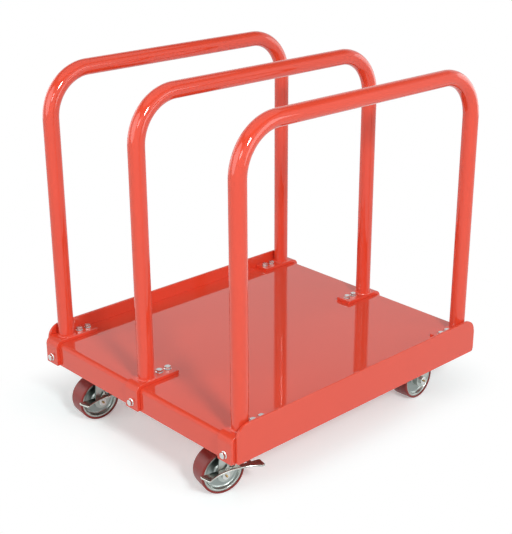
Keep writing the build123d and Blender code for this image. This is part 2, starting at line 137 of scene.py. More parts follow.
class Nodes:
    """Nodes of a material or world, with the patterns that feed its shader."""

    def __init__(self, owner: Material | World, space: str = "Object") -> None:
        """Empties the owner's tree.

        Args:
            owner: The material or world.
            space: Coordinates that its patterns follow.
        """
        owner.use_nodes = True
        self.tree = owner.node_tree
        self.tree.nodes.clear()
        self.place = self.add("TexCoord").outputs[space]

    def add(self, kind: str, inputs: dict | None = None, **settings: object) -> Node:
        """Adds a node.

        Args:
            kind: Blender's name of the node type, without its first word.
            inputs: Socket name or number to a value, or to the output socket to link from.
            settings: Properties of the node.

        Returns:
            The new node.
        """
        node = self.tree.nodes.new(f"ShaderNode{kind}")
        for name, value in settings.items():
            setattr(node, name, value)
        for socket, value in (inputs or {}).items():
            if isinstance(value, NodeSocket):
                self.tree.links.new(value, node.inputs[socket])
            else:
                node.inputs[socket].default_value = value
        return node

    def noise(self, size: float, detail: float) -> NodeSocket:
        """Cloudy pattern from the size of its patches in millimetres and how many finer ones it holds."""
        inputs = {"Vector": self.place, "Scale": per_metre(size), "Detail": detail}
        return self.add("TexNoise", inputs).outputs["Fac"]

    def tones(self, factor: NodeSocket, low: str, high: str) -> NodeSocket:
        """Colour that runs between two hex colours.

        Args:
            factor: Socket that gives 0 at the first colour and 1 at the second.
            low: First colour.
            high: Second colour.

        Returns:
            The colour's socket.
        """
        ramp = self.add("ValToRGB", {"Fac": factor})
        for element, colour in zip(ramp.color_ramp.elements, (low, high), strict=True):
            element.color = linear(colour)
        return ramp.outputs["Color"]

    def remap(
        self, value: NodeSocket, start: Point2 = (0.0, 1.0), end: Point2 = (0.0, 1.0), smooth: bool = False
    ) -> NodeSocket:
        """Maps one range of numbers onto another.

        Args:
            value: Socket of the number.
            start: The range that the number moves in.
            end: What its two limits become.
            smooth: Whether the change eases in and out.

        Returns:
            The new number's socket.
        """
        limits = dict(zip(("From Min", "From Max", "To Min", "To Max"), (*start, *end), strict=True))
        kind = "SMOOTHSTEP" if smooth else "LINEAR"
        return self.add("MapRange", {"Value": value} | limits, interpolation_type=kind).outputs["Result"]

    def relief(self, height: NodeSocket, depth: float, under: NodeSocket | None = None) -> NodeSocket:
        """Normal of a pattern that is raised by a depth in millimetres, over the mesh's own or another."""
        inputs = {"Height": height, "Distance": depth * MM} | ({} if under is None else {"Normal": under})
        return self.add("Bump", inputs).outputs["Normal"]

    def mix(self, share: NodeSocket, first: Node, second: Node) -> Node:
        """Mix of two shaders, by a share that is 0 for the first one and 1 for the second."""
        return self.add("MixShader", {"Fac": share, 1: first.outputs[0], 2: second.outputs[0]})

    def seen(self) -> NodeSocket:
        """Tells rays that show something from those that only light it.

        Returns:
            Socket that is 1 for camera, glossy and transmission rays.
        """
        path = self.add("LightPath").outputs
        share = path["Is Camera Ray"]
        for kind in ("Is Glossy Ray", "Is Transmission Ray"):
            share = self.add("Math", {0: share, 1: path[kind]}, operation="MAXIMUM").outputs[0]
        return share


# Finishes


@dataclass(frozen=True)
class Finish:
    """A surface: what it is made of and how it was made. Metals keep the shader's own IOR."""

    label: str
    slot: Slot
    low: str
    high: str
    roughness: float
    metallic: float = 0.0
    grain: float = 20.0
    detail: float = 3.0
    ior: float | None = None

    def material(self) -> Material:
        """Builds the material.

        Returns:
            A procedural material named for the finish.
        """
        made = bpy.data.materials.new(self.label)
        nodes = Nodes(made)
        cloud = nodes.noise(self.grain, self.detail)
        inputs = {"Roughness": self.roughness, "Metallic": self.metallic}
        if self.ior:
            inputs["IOR"] = self.ior
        inputs |= {"Base Color": self.tone(nodes, cloud)} | self.dress(nodes, cloud)
        nodes.add("OutputMaterial", {"Surface": nodes.add("BsdfPrincipled", inputs).outputs["BSDF"]})
        return made

    def tone(self, nodes: Nodes, cloud: NodeSocket) -> NodeSocket:
        """Colour of the surface, over its cloudy pattern."""
        return nodes.tones(cloud, self.low, self.high)

    def dress(self, nodes: Nodes, cloud: NodeSocket) -> dict:
        """Patterns of one kind of finish, as inputs of the shader."""
        raise NotImplementedError


@dataclass(frozen=True)
class Enamel(Finish):
    """Sprayed and baked enamel: a glossy skin with faint orange peel over sheet that isn't quite flat.

    The eye sees clear reflections that waver a little, and a tone that drifts slightly along each piece.
    """

    detail: float = 2.0
    ior: float | None = 1.55
    peel: float = 3.5
    peel_height: float = 0.004
    wave: float = 160.0
    wave_height: float = 0.12

    def dress(self, nodes: Nodes, cloud: NodeSocket) -> dict:
        """Orange peel and the waves of the sheet, as inputs of the shader."""
        # Real orange peel is about 1 mm across, too fine for the render, so it is drawn coarser and lower.
        fine = nodes.relief(nodes.noise(self.peel, 1.0), self.peel_height)
        return {"Normal": nodes.relief(nodes.noise(self.wave, 0.0), self.wave_height, fine)}


@dataclass(frozen=True)
class Plating(Finish):
    """Electroplated zinc: a metal skin with cloudy patches where the plating took unevenly.

    The eye sees soft reflections whose sharpness changes from patch to patch and a faint warm and cold drift.
    """

    detail: float = 4.0
    pit: float = 2.0
    pit_depth: float = 0.01
    spread: float = 0.12
    edge: float = 0.0

    def dress(self, nodes: Nodes, cloud: NodeSocket) -> dict:
        """Clouds of the plating and its fine pits.

        Args:
            nodes: Nodes of the material.
            cloud: Its cloudy pattern.

        Returns:
            Inputs of the shader.
        """
        shine = (self.roughness - self.spread, self.roughness + self.spread)
        under = None
        if self.edge:
            # Stamped edges are broken by tumbling, which leaves a bright line along each.
            under = nodes.add("Bevel", {"Radius": self.edge * MM}, samples=4).outputs["Normal"]
        pits = nodes.relief(nodes.noise(self.pit, 1.0), self.pit_depth, under)
        return {"Roughness": nodes.remap(cloud, end=shine), "Normal": pits}


@dataclass(frozen=True)
class Turned(Finish):
    """Metal faced on a lathe: rings round the axle, which is the piece's own Z axis.

    The eye sees fine concentric lines that catch the light in a fan on both sides of the hub.
    """

    step: float = 1.6
    depth: float = 0.02
    # Darker grey of the recessed web: painted shade in the recess, as well as the cast skin.
    web_cast_and_shade: str | None = None
    recess: Point2 = (13.6, 18.5)

    def tone(self, nodes: Nodes, cloud: NodeSocket) -> NodeSocket:
        """Colour of the metal, darker on the recessed web, as painted shade there and as the cast skin left
        where the tool didn't reach.

        Args:
            nodes: Nodes of the material.
            cloud: Its cloudy pattern.

        Returns:
            The colour's socket.
        """
        faced = super().tone(nodes, cloud)
        if self.web_cast_and_shade is None:
            return faced
        # Only hub and rim are faced bright: the recessed web between them is a darker grey, which is painted
        # shade in the recess as well as its cast skin.
        along = nodes.add("SeparateXYZ", {"Vector": nodes.place}).outputs["Z"]
        depth = nodes.add("Math", {0: along}, operation="ABSOLUTE").outputs[0]
        share = nodes.remap(depth, (self.recess[0] * MM, self.recess[1] * MM))
        inputs = {"Fac": share, "Color1": linear(self.web_cast_and_shade), "Color2": faced}
        return nodes.add("MixRGB", inputs).outputs["Color"]

    def dress(self, nodes: Nodes, cloud: NodeSocket) -> dict:
        """Rings that the tool left, as inputs of the shader."""
        # The real feed is some tenths of a millimetre, so the rings are drawn coarse enough to show.
        # At a scale of one, Blender draws a ring every tau / 20.
        inputs = {"Vector": nodes.place, "Scale": per_metre(self.step) * math.tau / 20}
        rings = nodes.add("TexWave", inputs, wave_type="RINGS", rings_direction="Z").outputs["Fac"]
        return {"Normal": nodes.relief(rings, self.depth)}


@dataclass(frozen=True)
class Moulded(Finish):
    """Cast polyurethane: a smooth, slightly waxy plastic with faint scuffs where it has rolled.

    The eye sees a deep colour with a soft sheen along the shoulders.
    """

    ior: float | None = 1.5
    scuff: float = 4.0
    scuff_depth: float = 0.02
    worn: Point2 = (-0.08, 0.12)

    def dress(self, nodes: Nodes, cloud: NodeSocket) -> dict:
        """Scuffs, as inputs of the shader."""
        marks = nodes.noise(self.scuff, 2.0)
        shine = (self.roughness + self.worn[0], self.roughness + self.worn[1])
        return {"Roughness": nodes.remap(marks, end=shine), "Normal": nodes.relief(marks, self.scuff_depth)}


class Coat(Enum):
    """Finishes of the cart."""

    ENAMEL = Enamel("sprayed_baked_enamel", Slot.PAINT, "#E0472F", "#E54D34", 0.06, grain=220.0)
    BOLT = Plating("electroplated_zinc_bolt", Slot.FASTENER, "#C6CACB", "#DADCD8", 0.24, 1.0, 6.0)
    STAMPING = Plating(
        "electroplated_zinc_stamping", Slot.PLATE, "#A3ACA8", "#C0C6C1", 0.32, 1.0, 18.0, edge=0.8
    )
    PEDAL = Plating("bright_zinc_pedal", Slot.PLATE, "#AEB3AE", "#C5C9C3", 0.2, 1.0, 25.0, spread=0.08)
    # The core's recessed web is a darker grey: painted shade there, as well as its cast skin.
    CORE = Turned("turned_cast_aluminium", Slot.WHEEL, "#A3AAA6", "#BBC0BB", 0.3, 1.0, 14.0, web_cast_and_shade="#949D9A")
    TREAD = Moulded("cast_polyurethane", Slot.TREAD, "#78150F", "#90221A", 0.38, 0.0, 30.0)
    BRONZE = Turned("turned_sintered_bronze", Slot.BEARING, "#A5793F", "#B98B4C", 0.38, 1.0, 5.0)
    BRASS = Plating("machined_brass", Slot.BEARING, "#96794A", "#AB8F60", 0.3, 1.0, 4.0)

    @cached_property
    def material(self) -> Material:
        """The finish's material, built once."""
        return self.value.material()


# Mesh forms, in millimetres


@dataclass(frozen=True)
class Room:
    """Box of a CAD node in millimetres."""

    low: Vector
    high: Vector

    @classmethod
    def of(cls, node: str) -> "Room":
        """Reads the box of a CAD node."""
        low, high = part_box(node)
        return cls(low / MM, high / MM)

    @property
    def centre(self) -> Vector:
        """Middle of the box."""
        return (self.low + self.high) / 2

    @property
    def size(self) -> Vector:
        """Lengths of the box's sides."""
        return self.high - self.low

    def face(self, sign: int) -> float:
        """X of the box's side that looks along X, for 1, or against it, for -1."""
        return self.high.x if sign > 0 else self.low.x


def placed(origin: Vector, x_dir: Vector, y_dir: Vector) -> Matrix:
    """Matrix that puts a form's zero point at an origin and its X and Y along two square unit directions."""
    turn = Matrix((x_dir, y_dir, x_dir.cross(y_dir))).transposed()
    return Matrix.Translation(origin) @ turn.to_4x4()


def side_on(room: Room) -> Matrix:
    """Place of a form that is drawn as seen from the cart's right and runs from a box's left side."""
    return placed(Vector((0, room.high.y, 0)), AHEAD, UP)


def full_turn(steps: int) -> list[float]:
    """Angles in radians that share a turn evenly."""
    return [math.tau * k / steps for k in range(steps)]


def quarter_turn(steps: int) -> list[float]:
    """Angles in radians from zero to a right angle."""
    return [math.pi / 2 * k / steps for k in range(steps + 1)]


def polar(radius: float, angle: float, height: float) -> Vector:
    """Point at a radius, an angle and a height about Z."""
    return Vector((radius * math.cos(angle), radius * math.sin(angle), height))


def rounded(
    corners: Sequence[Point2], radii: Sequence[float], steps: int = 8, closed: bool = True
) -> list[Point2]:
    """Rounds the corners of an outline or a run of lines.

    Args:
        corners: Corner points in order.
        radii: Radius at each corner, zero for a sharp one.
        steps: Chords in each rounded corner.
        closed: Whether the last corner joins the first.

    Returns:
        The points of the rounded outline.
    """
    made: list[Point2] = []
    count = len(corners)
    for i, (corner, radius) in enumerate(zip(corners, radii, strict=True)):
        if radius <= 0 or (not closed and i in (0, count - 1)):
            made.append(corner)
            continue
        here = Vector(corner)
        back = (Vector(corners[i - 1]) - here).normalized()
        ahead = (Vector(corners[(i + 1) % count]) - here).normalized()
        half = back.angle(ahead) / 2
        centre = here + (back + ahead).normalized() * radius / math.sin(half)
        first = here + back * radius / math.tan(half) - centre
        last = here + ahead * radius / math.tan(half) - centre
        sweep = first.angle_signed(last)
        made += [tuple(centre + Matrix.Rotation(-sweep * k / steps, 2) @ first) for k in range(steps + 1)]
    return made


def inset(outline: Sequence[Point2], distance: float, least: float = 0.3) -> list[Point2]:
    """Moves each point of a closed outline inwards.

    Args:
        outline: Points of the outline.
        distance: How far each side moves.
        least: Lowest share of that which a point's own move is divided by, which keeps sharp corners short.

    Returns:
        The moved points, as many as before.
    """
    points = [Vector(p) for p in outline]
    count = len(points)
    area = sum(points[i - 1].cross(points[i]) for i in range(count))
    inwards = 1 if area > 0 else -1
    made: list[Point2] = []
    for i, here in enumerate(points):
        before = (here - points[i - 1]).normalized()
        after = (points[(i + 1) % count] - here).normalized()
        left = Vector((-before.y - after.y, before.x + after.x)).normalized() * inwards
        lean = max(least, abs(left.dot(Vector((-after.y, after.x)))))
        made.append(tuple(here + left * distance / lean))
    return made


def stepped_rings(outline: Sequence[Point2], levels: Sequence[Point2]) -> list[Ring]:
    """Rings of a closed outline, each moved inwards by the first number of its level, at the second as Z."""
    return [[Vector((x, y, z)) for x, y in inset(outline, step_in)] for step_in, z in levels]


def plate_rings(outline: Sequence[Point2], depth: float, edge: float, steps: int = 3) -> list[Ring]:
    """Rings of a plate with rounded edges.

    Args:
        outline: Closed outline in the form's XY plane.
        depth: Thickness along the form's Z, which starts at zero.
        edge: Radius of the edges.
        steps: Chords in each rounded edge.

    Returns:
        Rings from the lower face to the upper one.
    """
    levels = [(edge * (1 - math.sin(a)), edge * (1 - math.cos(a))) for a in quarter_turn(steps)]
    levels += [(step_in, depth - rise) for step_in, rise in reversed(levels)]
    return stepped_rings(outline, levels)


def bent_rings(
    outer: Sequence[Point2], inner: Sequence[Point2], width: float, edge: float, corner: float, steps: int = 4
) -> list[Ring]:
    """Rings across a bent bar or sheet with rounded edges, from one end to the other.

    Args:
        outer: Points along the outer face, in the form's XY plane.
        inner: Points along the inner face, one opposite each outer one.
        width: Width along the form's Z, which starts at zero.
        edge: Radius of the edges.
        corner: Radius of the corners at both ends, seen square to the face.
        steps: Chords in each rounded edge.

    Returns:
        One rounded section for each place along the bar.
    """
    faces = [(Vector(a), Vector(b)) for a, b in zip(outer, inner, strict=True)]
    reach = max(edge, corner)
    leads = []
    for (top, under), (after, _) in (faces[:2], faces[:-3:-1]):
        run = (after - top).normalized()
        steps_in = [reach * (1 - math.cos(a)) for a in quarter_turn(6)]
        leads.append([(top + run * d, under + run * d, d) for d in steps_in])
    spots = leads[0] + [(a, b, reach) for a, b in faces[1:-1]] + leads[1][::-1]
    rings = []
    for top, under, depth in spots:
        thin, narrow = (r - math.sqrt(r * r - max(0.0, r - depth) ** 2) for r in (edge, corner))
        rise = (top - under).normalized()
        middle = (top + under) / 2
        half, side = (top - under).length / 2 - thin, width / 2 - narrow
        ring = []
        for quarter, (up, across) in enumerate(((1, 1), (-1, 1), (-1, -1), (1, -1))):
            for k in range(steps + 1):
                angle = math.pi / 2 * (quarter + k / steps)
                level = up * (half - edge) + edge * math.cos(angle)
                place = width / 2 + across * (side - edge) + edge * math.sin(angle)
                ring.append(Vector((*(middle + rise * level), place)))
        rings.append(ring)
    return rings


def turned_rings(profile: Sequence[Point2], steps: int = 48) -> list[Ring]:
    """Rings of a form turned about Z, from the radius and height of each."""
    return [[polar(r, a, z) for a in full_turn(steps)] for r, z in profile]


def linked(name: str, data: ID) -> Object:
    """Makes an object and links it to the scene.

    Args:
        name: Its name.
        data: The mesh, lamp or camera that it shows.

    Returns:
        The object.
    """
    made = bpy.data.objects.new(name, data)
    bpy.context.scene.collection.objects.link(made)
    return made


class Form:
    """Closed skins in millimetres, gathered into one mesh."""

    def __init__(self) -> None:
        """Starts an empty form."""
        self.points: list[Vector] = []
        self.faces: list[tuple[int, ...]] = []

    def add(self, rings: Sequence[Ring], place: Matrix | None = None, wrap: bool = False) -> "Form":
        """Adds a closed skin over rings that have the same number of points.

        Args:
            rings: The rings in order.
            place: Matrix that puts the rings in the form's space.
            wrap: Whether the last ring joins the first, as in a hollow form; otherwise both ends are closed.

        Returns:
            The form itself.
        """
        start, count, last = len(self.points), len(rings[0]), len(rings) - 1
        for ring in rings:
            self.points.extend(place @ p if place else p for p in ring)
        for low, high in [(i, i + 1) for i in range(last)] + ([(last, 0)] if wrap else []):
            for i in range(count):
                j = (i + 1) % count
                a, b = start + low * count, start + high * count
                self.faces.append((a + i, a + j, b + j, b + i))
        if not wrap:
            self.faces.append(tuple(start + i for i in reversed(range(count))))
            self.faces.append(tuple(start + last * count + i for i in range(count)))
        return self

    def piece(
        self,
        name: str,
        coat: Coat,
        node: str | None = None,
        body: str = "chassis",
        place: Matrix | None = None,
        sharp: float = SHARP,
    ) -> None:
        """Makes the piece, ties it to its body and hides the CAD node that it stands for.

        Args:
            name: Name of the piece.
            coat: Its finish.
            node: The CAD node, if it stands for one.
            body: Body that it rides on.
            place: Place of the piece's own origin in the cart, in millimetres.
            sharp: Angle in degrees above which an edge is sharp.
        """
        mesh = bpy.data.meshes.new(name)
        mesh.from_pydata([p * MM for p in self.points], [], self.faces)
        work = bmesh.new()
        work.from_mesh(mesh)
        bmesh.ops.recalc_face_normals(work, faces=work.faces)
        work.to_mesh(mesh)
        work.free()
        mesh.shade_smooth()
        mesh.set_sharp_from_angle(angle=math.radians(sharp))
        mesh.materials.append(coat.material)
        made = linked(name, mesh)
        if place:
            made.matrix_world = Matrix.Translation(place.translation * MM) @ place.to_3x3().to_4x4()
        made.modifiers.new("face_weighted_normals", "WEIGHTED_NORMAL").keep_sharp = True
        if node:
            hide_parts(node)
        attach(made, body)
        log.info("%s rides on %s", name, body)


def dress(node: Object, coat: Coat) -> None:
    """Gives a CAD node its finish and breaks its sharp edges a little.

    Args:
        node: The node's object.
        coat: Its finish.
    """
    for place in node.material_slots:
        place.material = coat.material
    node.modifiers.new("joined_points", "WELD").merge_threshold = 0.002 * MM
    broken = node.modifiers.new("broken_edges", "BEVEL")
    broken.width = 0.4 * MM
    broken.segments = 2
    broken.limit_method = "ANGLE"
    broken.angle_limit = math.radians(40)
    broken.harden_normals = True
    log.info("%s is dressed in %s", node.name, coat.value.label)


@dataclass(frozen=True)
class Hardware:
    """Size of a bolt or nut with a hexagon head, in millimetres."""

    thread: float
    flats: float
    height: float
    flange: float = 0.0
    flange_height: float = 0.0
    pitch: float = 1.25
    thread_depth: float = 0.6
    thread_run: float = 0.3
    tip_chamfer: float = 0.9
    bore_chamfer: float = 0.8
    bore_play: float = 0.02
    face_share: float = 0.94
    chamfer: float = 30.0
    steps: int = 48

    def hexagon_rings(self, low: float, high: float, both: bool) -> list[Ring]:
        """Rings of a hexagon whose corners are chamfered, on one side or both.

        Args:
            low: Height of the lower face.
            high: Height of the upper face.
            both: Whether the lower side is chamfered too.

        Returns:
            The rings from the lower face up.
        """
        half, sixth = self.flats / 2, math.tau / 6
        face, slope = half * self.face_share, math.tan(math.radians(self.chamfer))
        turns = full_turn(self.steps)
        outline = [(half / math.cos((a + sixth / 2) % sixth - sixth / 2), a) for a in turns]
        rings = []
        for level, sign, cut in ((low, 1, both), (high, -1, True)):
            flat = [polar(face, a, level) for a in turns]
            side = [polar(r, a, level + sign * (r - face) * slope * cut) for r, a in outline]
            rings += [flat, side][::sign]
        return rings

    def bolt(self, form: Form, place: Matrix, grip: float, tip: float) -> None:
        """Adds a bolt whose head sits on the place's XY plane.

        Args:
            form: Form that takes the bolt.
            place: Seat of the head, with Z out of the head.
            grip: Length of plain shank.
            tip: Length of the threaded end past the grip.
        """
        if self.flange:
            rim, top = self.flange / 2, self.flange_height + 0.5
            washer = [(rim - 0.3, 0), (rim, 0.3), (rim, 0.7), (rim - 0.4, 1.0), (self.flats / 2, top)]
            form.add(turned_rings(washer, self.steps), place)
        form.add(self.hexagon_rings(0.2, self.height + self.flange_height, False), place)
        radius, run = self.thread / 2, self.thread_run
        shank = [(radius, 0.1), (radius, -grip)]
        for k in range(max(1, round(tip / self.pitch))):
            level = -grip - k * self.pitch
            shank += [(radius - self.thread_depth, level - run), (radius, level - run - self.pitch / 2)]
        shank += [(radius - self.tip_chamfer, -grip - tip)]
        form.add(turned_rings(shank, self.steps), place)

    def nut(self, form: Form, place: Matrix) -> None:
        """Adds a nut whose lower face sits on the place's XY plane.

        Args:
            form: Form that takes the nut.
            place: Its seat, with Z out of the nut.
        """
        bore, cut = self.thread / 2 + self.bore_play, self.bore_chamfer
        inner = [(bore + cut, self.height), (bore, self.height - cut), (bore, cut), (bore + cut, 0)]
        outer = self.hexagon_rings(0, self.height, True)
        form.add(outer + turned_rings(inner, self.steps), place, wrap=True)


# The cart's frame


def hoop_leg(row: str) -> tuple[Room, float, float]:
    """Box of a row's hoop, its tube's radius, and how far a leg's axis stands from the cart's middle."""
    room = Room.of(f"hoop_{row}")
    return room, room.size.y / 2, room.high.x - room.size.y / 2


@dataclass
class Frame:
    """Welded and bolted frame: deck pan, side plates, hoops and foot straps."""

    hoop_bend: float = 102.0
    tube_steps: int = 64
    bend_steps: int = 30
    pan_bend: float = 10.0
    plate_top_corner: float = 32.0
    plate_bottom_corner: float = 6.0
    strap_bend_gap: float = 0.5
    sheet_edge: float = 0.5
    plate_edge: float = 1.2
    strap_edge: float = 0.9
    strap_corner: float = 2.0
    weld_leg: float = 3.2
    weld_ripples: int = 26
    ripple_steps: int = 8
    weld_sink: float = 0.3

    def build(self) -> None:
        """Builds every piece of the frame."""
        self.deck()
        for side in ("right", "left"):
            self.side_plate(side)
        for row in ROWS:
            self.hoop(row)
            for end in End:
                self.foot(row, end)

    def deck(self) -> None:
        """Deck pan: a sheet with both ends bent down."""
        pan = Room.of("deck_pan")
        low, high = pan.low, pan.high
        runs = []
        for inside in (0.0, PAN_SHEET):
            rear, front, top = low.x + inside, high.x - inside, high.z - inside
            corners = [(rear, low.z), (rear, top), (front, top), (front, low.z)]
            bend = self.pan_bend - inside
            runs.append(rounded(corners, [0, bend, bend, 0], closed=False))
        rings = bent_rings(*runs, pan.size.y, self.sheet_edge, 0)
        Form().add(rings, side_on(pan)).piece("deck_skin", Coat.ENAMEL, "deck_pan")

    def side_plate(self, side: str) -> None:
        """Side plate with large upper corners and small lower ones.

        Args:
            side: Name of the side.
        """
        room = Room.of(f"side_plate_{side}")
        low, high = room.low, room.high
        small, large = self.plate_bottom_corner, self.plate_top_corner
        corners = [(low.x, low.z), (high.x, low.z), (high.x, high.z), (low.x, high.z)]
        outline = rounded(corners, [small, small, large, large], steps=12)
        form = Form().add(plate_rings(outline, room.size.y, self.plate_edge), side_on(room))
        form.piece(f"side_plate_skin_{side}", Coat.ENAMEL, f"side_plate_{side}")

    def hoop(self, row: str) -> None:
        """Bent tube of one hoop.

        Args:
            row: Name of the hoop's row.
        """
        room, radius, leg = hoop_leg(row)
        foot, middle = room.low.z, room.centre.y
        path: list[tuple[Vector, float]] = [(Vector((-leg, middle, foot)), math.pi)]
        for sign, first in ((-1, math.pi), (1, math.pi / 2)):
            hub = Vector((sign * (leg - self.hoop_bend), middle, room.high.z - radius - self.hoop_bend))
            for turn in quarter_turn(self.bend_steps):
                angle = first - turn
                path.append((hub + self.hoop_bend * Vector((math.cos(angle), 0, math.sin(angle))), angle))
        path.append((Vector((leg, middle, foot)), 0.0))
        rings = []
        for point, angle in path:
            out = Vector((math.cos(angle), 0, math.sin(angle)))
            turns = full_turn(self.tube_steps)
            rings.append([point + radius * (math.cos(t) * out + math.sin(t) * LEFT) for t in turns])
        Form().add(rings).piece(f"hoop_tube_{row}", Coat.ENAMEL, f"hoop_{row}")

    def foot(self, row: str, end: End) -> None:
        """Foot strap of one leg and the weld bead round the leg.

        Args:
            row: Name of the hoop's row.
            end: End of the cart.
        """
        key = f"{row}_{end.name.lower()}"
        room, pan = Room.of(f"foot_strap_{key}"), Room.of("deck_pan")
        outer, tip = room.face(end.value), room.face(-end.value)
        face = end.value * pan.high.x
        thick = abs(outer - face)
        deck, top = pan.high.z, pan.high.z + thick
        bend = self.pan_bend - self.strap_bend_gap
        upper, lower = (
            rounded([(tip, level), (x, level), (x, room.low.z)], [0, radius, 0], closed=False, steps=14)
            for x, level, radius in ((outer, top, bend + thick), (face, deck, bend))
        )
        strap = bent_rings(upper, lower, room.size.y, self.strap_edge, self.strap_corner)
        Form().add(strap, side_on(room)).piece(f"strap_bar_{key}", Coat.ENAMEL, f"foot_strap_{key}")
        hoop, radius, leg = hoop_leg(row)
        seat = Matrix.Translation(Vector((end.value * leg, hoop.centre.y, top)))
        bead = Form().add(self.bead_rings(radius), seat, wrap=True)
        bead.piece(f"weld_bead_{key}", Coat.ENAMEL, sharp=BEAD_SHARP)

    def bead_rings(self, radius: float) -> list[Ring]:
        """Rings of a weld bead with the ripples of its passes.

        Args:
            radius: Radius of the tube that it runs round.

        Returns:
            Slices across the bead, in order round the tube.
        """
        slices = []
        sink = self.weld_sink
        for k, angle in enumerate(full_turn(self.weld_ripples * self.ripple_steps)):
            phase = (k % self.ripple_steps) / self.ripple_steps
            swell = 0.78 + 0.22 * math.sin(math.pi * phase) ** 0.7 + 0.05 * math.sin(5 * angle)
            leg = self.weld_leg * swell
            section = [(radius - sink, -sink), (radius - sink, leg)]
            for t in (0.12, 0.3, 0.5, 0.7, 0.88):
                bulge = 0.07 * leg * math.sin(math.pi * t)
                section.append((radius + leg * t + bulge, leg * (1 - t) + bulge))
            section.append((radius + leg, -sink))
            slices.append([polar(r, angle, z) for r, z in section])
        return slices


@dataclass
class Fasteners:
    """Bolts and nuts that hold the straps to the deck and the casters to the channels."""

    flanged: Hardware = Hardware(8.0, 13.0, 5.5, 17.0, 1.6)
    plain: Hardware = Hardware(8.0, 13.0, 5.5)
    nuts: Hardware = Hardware(8.0, 13.0, 6.5)
    first_bolt: float = 36.0
    bolt_pitch: float = 23.0
    end_bolt_height: float = 18.0
    mount_length_pitch: float = 80.0
    mount_width_pitch: float = 60.0
    overhang: float = 2.5

    def build(self) -> None:
        """Builds the bolts and the nuts of every group."""
        for group, kind, head, spots, nut_node in (
            ("deck", "flange", self.flanged, self.deck_spots(), "deck_bolt_nuts"),
            ("end", "flange", self.flanged, self.end_spots(), "end_bolt_nuts"),
            ("mount", "hex", self.plain, self.mount_spots(), "mount_nuts"),
        ):
            bolts, nuts = Form(), Form()
            for seat, nut_seat, out, turn in spots:
                grip = (seat - nut_seat).length + self.nuts.height
                head.bolt(bolts, self.seat(seat, out, turn), grip, self.overhang)
                self.nuts.nut(nuts, self.seat(nut_seat, -out, turn))
            bolts.piece(f"{group}_{kind}_bolts", Coat.BOLT, f"{group}_bolts", sharp=HEX_SHARP)
            nuts.piece(f"{group}_hex_nuts", Coat.BOLT, nut_node, sharp=HEX_SHARP)

    def deck_spots(self) -> Iterator[Spot]:
        """Finds the bolts down through the straps, two at each leg, with nuts under the deck.

        Yields:
            Each bolt's spot.
        """
        under = Room.of("deck_pan").high.z - PAN_SHEET
        for row in ROWS:
            hoop, _, leg = hoop_leg(row)
            for end in End:
                for offset in (self.first_bolt, self.first_bolt + self.bolt_pitch):
                    spot = Vector((end.value * (leg - offset), hoop.centre.y, 0))
                    yield spot + UP * hoop.low.z, spot + UP * under, UP, 0.6 * spot.x + spot.y

    def end_spots(self) -> Iterator[Spot]:
        """Finds the bolts through the straps' down-turned ends, with nuts inside the pan.

        Yields:
            Each bolt's spot.
        """
        pan = Room.of("deck_pan")
        level = pan.low.z + self.end_bolt_height
        for row in ROWS:
            centre = Room.of(f"hoop_{row}").centre.y
            for end in End:
                strap = Room.of(f"foot_strap_{row}_{end.name.lower()}")
                seat = Vector((strap.face(end.value), centre, level))
                nut_seat = Vector((end.value * (pan.high.x - PAN_SHEET), centre, level))
                yield seat, nut_seat, AHEAD * end.value, centre

    def mount_spots(self) -> Iterator[Spot]:
        """Finds the bolts up through the caster plates, with nuts inside the channels.

        Yields:
            Each bolt's spot.
        """
        seat_level = Room.of("mount_bolts").low.z + self.plain.height
        nut_level = Room.of("mount_nuts").low.z
        for corner in Corner:
            centre = Room.of(f"bearing_cage_{corner.value}").centre
            for along in (-0.5, 0.5):
                for across in (-0.5, 0.5):
                    x = centre.x + along * self.mount_length_pitch
                    spot = Vector((x, centre.y + across * self.mount_width_pitch, 0))
                    yield spot + UP * seat_level, spot + UP * nut_level, -UP, spot.x + 2 * spot.y

    @staticmethod
    def seat(origin: Vector, out: Vector, turn: float) -> Matrix:
        """Place of a head or nut from the middle of its seat, the direction out of it, and its turn."""
        side = LEFT if abs(out.x) > 0.5 else AHEAD
        return placed(origin, side, out.cross(side)) @ Matrix.Rotation(turn, 4, "Z")


# Casters


